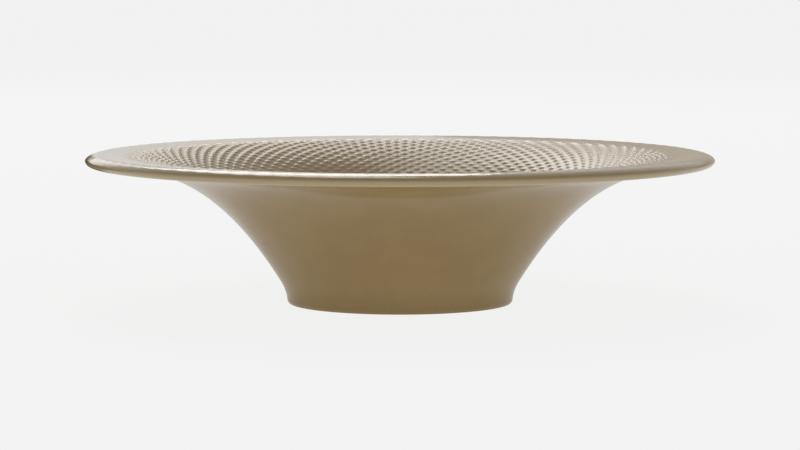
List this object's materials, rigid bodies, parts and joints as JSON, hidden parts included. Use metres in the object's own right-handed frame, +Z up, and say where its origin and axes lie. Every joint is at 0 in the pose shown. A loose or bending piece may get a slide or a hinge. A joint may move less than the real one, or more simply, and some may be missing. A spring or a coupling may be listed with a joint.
{
  "type": "deep coupe plate",
  "caption": "Round deep ceramic plate with a narrow foot ring, a trumpet-shaped wall, a wide rim with a round lip, and diamond studs over the flare of its glazed eating side.",
  "frame": {"origin": "on the table under the middle of the foot ring", "axes": "+Z up along the plate's axis, X and Y in the table plane; the plate is round, so the picture looks along +Y"},
  "size_m": [0.28, 0.28, 0.0672],
  "materials": {
    "bare_clay": "matte fired clay",
    "glaze": "satin-gloss taupe brown glaze"
  },
  "bodies": {
    "root": {"clay_body": "bare_clay", "upper_glaze": "glaze", "outer_glaze": "glaze", "base_glaze": "glaze"}
  },
  "joints": []
}
